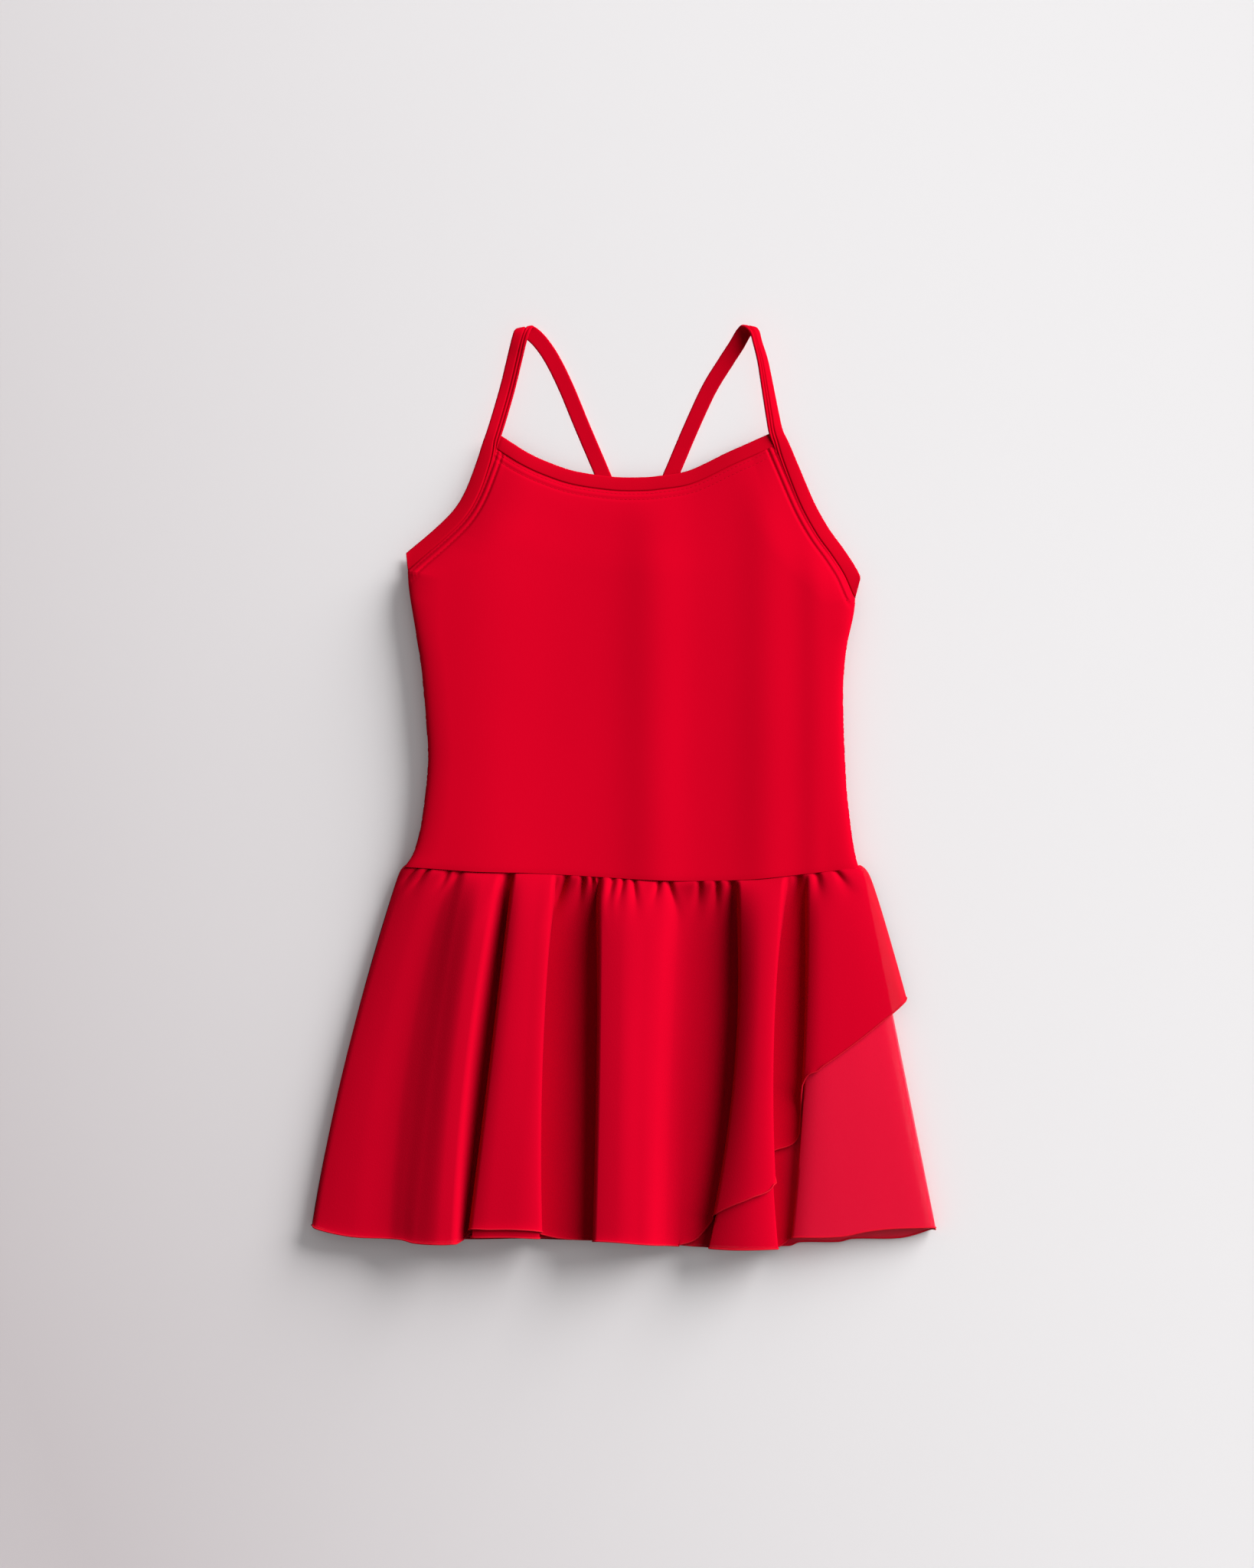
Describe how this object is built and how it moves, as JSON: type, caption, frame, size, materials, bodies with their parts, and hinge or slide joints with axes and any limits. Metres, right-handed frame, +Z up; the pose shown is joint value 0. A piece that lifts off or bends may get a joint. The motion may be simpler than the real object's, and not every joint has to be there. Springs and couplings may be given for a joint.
{
  "type": "child's camisole dance dress",
  "caption": "Sleeveless stretch dance dress with thin straps and a gathered chiffon skirt whose front wrap has a slanting hem, laid flat.",
  "frame": {"origin": "on the surface the dress lies on, under the middle of its bounding box", "axes": "+X across the dress, to the right as the front is seen; +Y from the hem to the straps; +Z up, out of the front"},
  "size_m": [0.3773, 0.5572, 0.0263],
  "materials": {
    "jersey": "matt stretch jersey with a slight sheen",
    "band": "folded stretch jersey band, twin stitched",
    "chiffon": "matt sheer crepe chiffon"
  },
  "bodies": {
    "root": {"bodice_front": "jersey", "bodice_back": "jersey", "neck_binding": "band", "back_binding": "band", "strap_left": "band", "strap_right": "band", "skirt_wrap": "chiffon", "skirt_under": "chiffon", "skirt_back": "chiffon"}
  },
  "joints": []
}
